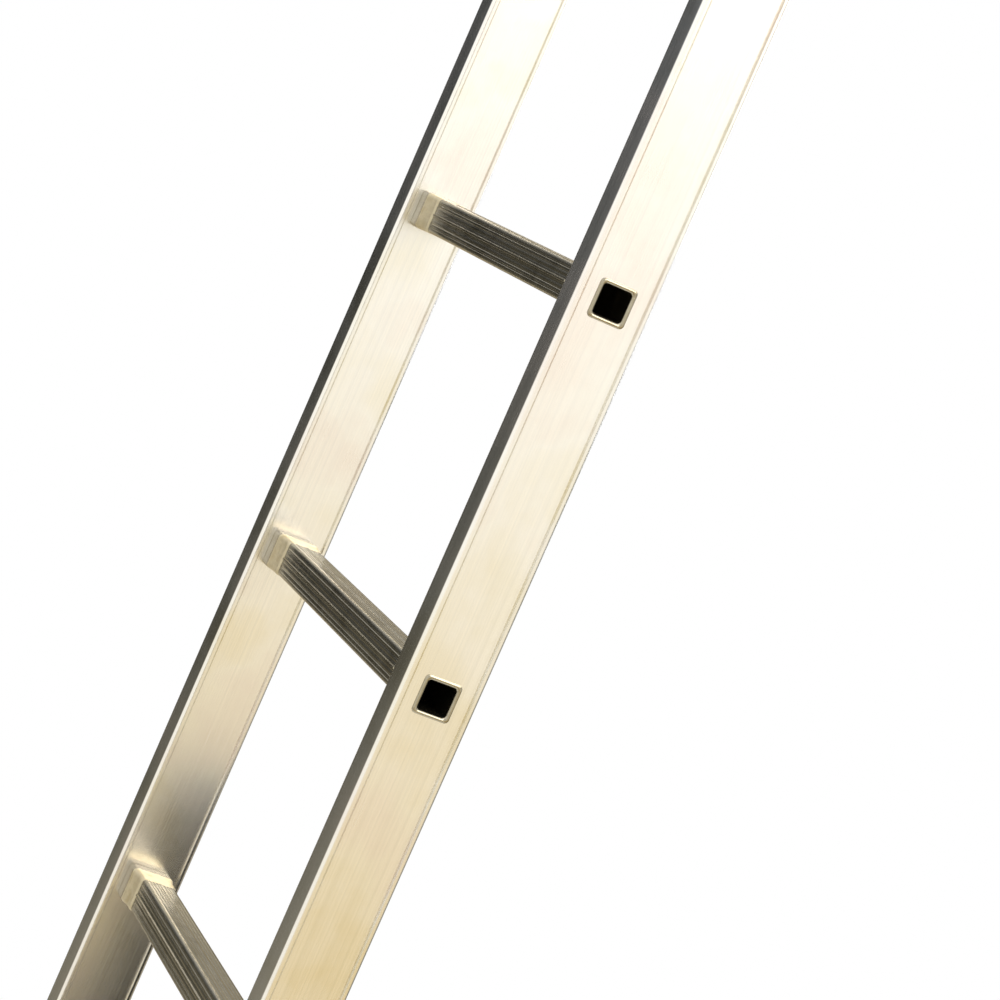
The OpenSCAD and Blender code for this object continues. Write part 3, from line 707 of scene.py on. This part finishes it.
def buildBracket(node):
    v = bracketValues
    low, high, _ = boxOf(node)
    sheet = v["sheet"] * mm
    outline = [(low.x, high.y), (low.x, low.y), (high.x, low.y), (high.x, high.y), (high.x - sheet, high.y),
               (high.x - sheet, low.y + sheet), (low.x + sheet, low.y + sheet), (low.x + sheet, high.y)]
    bm = bmesh.new()
    extrudeOutline(bm, [(x, y, low.z) for x, y in outline], (0, 0, high.z - low.z))
    outerBends = edgesAlong(bm, 2, lambda m: isAt(m.y, low.y))
    bevelEdges(bm, outerBends, v["bendOuter"], 5)
    innerBends = edgesAlong(bm, 2, lambda m: isAt(m.y, low.y + sheet))
    bevelEdges(bm, innerBends, v["bendInner"], 3)
    tips = edgesAlong(bm, 0, lambda m: isAt(m.y, high.y))
    bevelEdges(bm, tips, v["cornerRadius"], 5)
    softenAll(bm, v["soften"], 1, 40)
    finishPiece(bm, node.replace("lock_bracket", "lockBracketPressing"), node)


def buildPin(node, pivot, out):
    v = pinValues
    low, high, _ = boxOf(node)
    length = (high.x - low.x) / mm
    start = Vector((low.x if out > 0 else high.x, pivot.y, pivot.z))
    profile = [(v["dimpleDepth"], 0), (v["dimpleDepth"], v["dimple"]), (0, v["dimple"] + v["dimpleSlope"]),
               (0, v["head"] - v["chamfer"]), (v["chamfer"], v["head"]),
               (v["headThick"] - v["headRound"], v["head"]), (v["headThick"], v["head"] - v["headRound"]),
               (v["headThick"], v["shank"]), (length - v["tip"], v["shank"]),
               (length, v["shank"] - v["tip"]), (length, 0)]
    bm = bmesh.new()
    spinProfile(bm, profile, start, out, 40)
    finishPiece(bm, node.replace("lock_pin", "lockPinTurned"), node)


def buildSpacers(node, pivot, tubes):
    v = spacerValues
    bm = bmesh.new()
    for start, length in tubes:
        c = v["chamfer"]
        profile = [(0, v["bore"]), (0, v["radius"] - c), (c, v["radius"]), (length - c, v["radius"]),
                   (length, v["radius"] - c), (length, v["bore"]), (0, v["bore"])]
        spinProfile(bm, profile, Vector((start, pivot.y, pivot.z)), 1, 36)
    finishPiece(bm, node.replace("lock_spacers", "lockSpacerTubes"), node)


# rivets

rivetValues = dict(head=6.5, rise=2.4, shank=3.2, mandrel=1.5, dimple=0.7,
                   domeRadii=(2.2, 3.2, 4.2, 5.2, 5.9, 6.35), footShank=8.0, guideShank=11.0, lockShank=5.5)


def buildRivets(node, places):
    # places: where each head sits, the way that it faces along X and how long its shank is
    v = rivetValues
    bm = bmesh.new()
    for place, out, length in places:
        dome = [(v["rise"] * (1 - (r / v["head"]) ** 2), r) for r in v["domeRadii"]]
        profile = [(v["rise"] - v["dimple"], 0), (v["rise"] - v["dimple"], v["mandrel"] - 0.3),
                   (v["rise"] - 0.12, v["mandrel"])] + dome
        profile += [(0.0, v["head"]), (-0.02, v["shank"]), (-length, v["shank"]), (-length, 0)]
        spinProfile(bm, profile, Vector(place), out, 32)
    finishPiece(bm, node.replace("rivets", "rivetHeads"), node)


def rivetGrid(node, head, shank):
    # two rows of rivets, on both sides of the ladder, whose heads face outwards
    low, high, mid = boxOf(node)
    seat = high.x - rivetValues["rise"] * mm
    heights = [low.z + head, high.z - head] if high.z - low.z > 3 * head else [mid.z]
    return [((out * seat, mid.y, z), out, shank) for out in (-1, 1) for z in heights]


facingOf = {"base": -1, "fly": 1}
for side in sides:
    out = 1 if side == "right" else -1
    buildShoe("foot_shoe_" + side)
    buildPad("foot_pad_" + side)
    buildEndCap("base_top_cap_" + side, 1)
    buildEndCap("fly_bottom_cap_" + side, -1)
    buildWallCap("wall_cap_" + side)
    for place, section in (("top", "base"), ("bottom", "fly")):
        buildGuide(place + "_guide_" + side, side, facingOf[section])
        buildLiner(place + "_guide_liner_" + side, side, facingOf[section])
        buildSlidePad(place + "_slide_pad_" + side, facingOf[section])
    buildStop("extension_stop_" + side)
    pivot = boxOf("lock_pin_" + side)[2]
    buildHook("lock_hook_" + side, pivot)
    buildBracket("lock_bracket_" + side)
    buildPin("lock_pin_" + side, pivot, out)
    bracketLow, bracketHigh, _ = boxOf("lock_bracket_" + side)
    hookLow, hookHigh, _ = boxOf("lock_hook_" + side)
    sheet, play = bracketValues["sheet"] * mm, spacerValues["play"] * mm
    firstTube = (bracketLow.x + sheet, (hookLow.x - bracketLow.x - sheet - play) / mm)
    secondTube = (hookHigh.x + play, (bracketHigh.x - sheet - hookHigh.x - play) / mm)
    buildSpacers("lock_spacers_" + side, pivot, (firstTube, secondTube))
headRadius = rivetValues["head"] * mm
buildRivets("foot_rivets", rivetGrid("foot_rivets", headRadius, rivetValues["footShank"]))
for name in ("top_guide_rivets", "bottom_guide_rivets", "stop_rivets"):
    buildRivets(name, rivetGrid(name, headRadius, rivetValues["guideShank"]))
low, high, _ = boxOf("lock_rivets")
seat = high.x - rivetValues["lockShank"] * mm       # inner face of the bracket's flange
lockPlaces = [(low.y + headRadius, high.z - headRadius), (high.y - headRadius, low.z + headRadius)]
buildRivets("lock_rivets", [((out * seat, y, z), -out, rivetValues["lockShank"])
                            for out in (-1, 1) for y, z in lockPlaces])
print("fittings made")


# stage, lights and camera

stageValues = dict(floorRadius=4.0, cameraPlace=(2.153, -0.817, 2.853), focal=117.54,
                   right=(0.30364, 0.8633, 0.40313), down=(0.22413, 0.34652, -0.91087))

bm = bmesh.new()
bmesh.ops.create_circle(bm, cap_ends=True, segments=96, radius=stageValues["floorRadius"])
mesh = bpy.data.meshes.new("studioFloor")
bm.to_mesh(mesh)
bm.free()
floor = bpy.data.objects.new("studioFloor", mesh)
scene.collection.objects.link(floor)
floorMaterial, _, floorShader = startMaterial("studioPaper")
floorShader.inputs["Base Color"].default_value = linearColour("#F1F0EC")
floorShader.inputs["Roughness"].default_value = 0.9
mesh.materials.append(floorMaterial)

# each lobe is a soft patch of the studio's surround: the way it lies, the cosines where it starts and is
# full, and its colours from the floor up, as (height, colour) with the horizon at 0.5
worldValues = dict(
    around=((0.0, (0.34, 0.30, 0.22)), (0.44, (0.30, 0.29, 0.25)), (0.52, (0.30, 0.32, 0.35)),
            (0.7, (0.5, 0.52, 0.56)), (1.0, (0.9, 0.91, 0.94))),
    lobes=(
        # warm wall on the climber's right, white at the top and gold towards the floor
        dict(axis=(0.93, 0.36, 0.0), start=0.60, full=0.88,
             stops=((0.0, (0.62, 0.46, 0.20)), (0.26, (0.80, 0.63, 0.33)), (0.34, (0.93, 0.81, 0.57)),
                    (0.42, (1.10, 1.07, 1.0)), (0.52, (1.2, 1.19, 1.15)), (0.60, (1.12, 1.10, 1.05)),
                    (0.67, (0.20, 0.16, 0.09)), (0.82, (0.28, 0.24, 0.17)), (0.95, (1.0, 1.0, 1.0)))),
        # white panel in front on the right, which draws the bright line down the stiles' rounded corners
        dict(axis=(0.5, -0.866, 0.0), start=0.25, full=0.75,
             stops=((0.0, (0.80, 0.74, 0.62)), (0.45, (1.15, 1.13, 1.08)), (1.0, (1.35, 1.36, 1.38)))),
        # black curtain on the left, with light above it
        dict(axis=(-0.990, -0.139, 0.0), start=0.9063, full=0.9781,
             stops=((0.10, (0.10, 0.09, 0.05)), (0.28, (0.035, 0.032, 0.02)), (0.42, (0.012, 0.012, 0.01)),
                    (0.60, (0.004, 0.004, 0.004)), (0.78, (0.02, 0.02, 0.02)), (0.86, (1.0, 0.97, 0.9)))),
        # brown bench behind on the left, which the treads pick up
        dict(axis=(-0.847, 0.489, 0.208), start=0.86, full=0.96,
             stops=((0.45, (0.10, 0.08, 0.04)), (0.62, (0.24, 0.18, 0.09)), (0.75, (0.34, 0.27, 0.15)),
                    (0.9, (0.8, 0.78, 0.7)))),
    ),
)
world = bpy.data.worlds.new("studio")
scene.world = world
world.use_nodes = True
surround = world.node_tree
surround.nodes.clear()
direction = addNode(surround, "ShaderNodeTexCoord").outputs["Generated"]
height = addNode(surround, "ShaderNodeSeparateXYZ", None, Vector=direction).outputs["Z"]
level = addNode(surround, "ShaderNodeMapRange", {"From Min": -0.5, "From Max": 0.5},
                Value=height).outputs["Result"]


def wallColour(stops):
    ramp = addNode(surround, "ShaderNodeValToRGB", None, Fac=level)
    return setRamp(ramp, [(place, [*colour, 1]) for place, colour in stops]).outputs["Color"]


colour = wallColour(worldValues["around"])
for wall in worldValues["lobes"]:
    dot = addNode(surround, "ShaderNodeVectorMath", {"operation": "DOT_PRODUCT", 1: wall["axis"]},
                  i0=direction)
    fade = {"interpolation_type": "SMOOTHSTEP", "From Min": wall["start"], "From Max": wall["full"]}
    share = addNode(surround, "ShaderNodeMapRange", fade, Value=dot.outputs["Value"])
    mix = addNode(surround, "ShaderNodeMix", {"data_type": "RGBA"}, i0=share.outputs["Result"], i6=colour,
                  i7=wallColour(wall["stops"]))
    colour = mix.outputs[2]
studio = addNode(surround, "ShaderNodeBackground", {"Strength": 1.0}, Color=colour)
paper = addNode(surround, "ShaderNodeBackground", {"Color": [1, 1, 1, 1], "Strength": 1.0})
seen = addNode(surround, "ShaderNodeLightPath").outputs["Is Camera Ray"]
blend = addNode(surround, "ShaderNodeMixShader", None, i0=seen, i1=studio.outputs[0], i2=paper.outputs[0])
addNode(surround, "ShaderNodeOutputWorld", None, Surface=blend.outputs[0])

# a dark card that only reflections see, for the deep patch low on the far stile
cardValues = dict(x=0.15, y=(0.062, 0.5), z=(1.2, 2.28), colour="#1C190E")
bm = bmesh.new()
cardPlace = Matrix.Translation((cardValues["x"], sum(cardValues["y"]) / 2, sum(cardValues["z"]) / 2))
cardDepth, cardHeight = (cardValues[axis][1] - cardValues[axis][0] for axis in "yz")
cardSize = Matrix.Diagonal((1, cardDepth, cardHeight, 1))
bmesh.ops.create_grid(bm, x_segments=1, y_segments=1, size=0.5,
                      matrix=cardPlace @ cardSize @ Matrix.Rotation(math.pi / 2, 4, "Y"))
mesh = bpy.data.meshes.new("darkCard")
bm.to_mesh(mesh)
bm.free()
card = bpy.data.objects.new("darkCard", mesh)
scene.collection.objects.link(card)
cardMaterial, _, cardShader = startMaterial("blackVelvetCard")
cardShader.inputs["Base Color"].default_value = linearColour(cardValues["colour"])
cardShader.inputs["Roughness"].default_value = 1.0
mesh.materials.append(cardMaterial)
card.visible_camera = card.visible_shadow = card.visible_diffuse = False

lightValues = [
    # name, place, aims at, size, watts, colour
    ("softKey", (3.2, 1.6, 4.6), (0.0, 0.0, 1.8), 2.4, 70, "#FFF8EE"),
    ("softTop", (0.6, -0.8, 6.4), (0.0, 0.0, 1.6), 3.0, 60, "#FFFFFF"),
    ("softFill", (-0.8, 4.4, 3.4), (0.0, 0.0, 1.5), 2.2, 40, "#F4F7FF"),
]
for name, place, aim, size, watts, colour in lightValues:
    data = bpy.data.lights.new(name, "AREA")
    data.shape = "DISK"
    data.size = size
    data.energy = watts
    data.color = linearColour(colour)[:3]
    lamp = bpy.data.objects.new(name, data)
    scene.collection.objects.link(lamp)
    lamp.location = place
    lamp.rotation_euler = (Vector(aim) - Vector(place)).to_track_quat("-Z", "Y").to_euler()
    lamp.visible_camera = False

right, down = Vector(stageValues["right"]), Vector(stageValues["down"])
forward = right.cross(-down) * -1
cameraData = bpy.data.cameras.new("camera")
cameraData.lens = stageValues["focal"]
cameraData.sensor_width = 36
cameraData.clip_end = 100
camera = bpy.data.objects.new("camera", cameraData)
scene.collection.objects.link(camera)
turn = Matrix((right, -down, -forward)).transposed()
camera.matrix_world = Matrix.Translation(stageValues["cameraPlace"]) @ turn.to_4x4()
scene.camera = camera
scene.view_settings.view_transform = "Standard"
print("stage made")
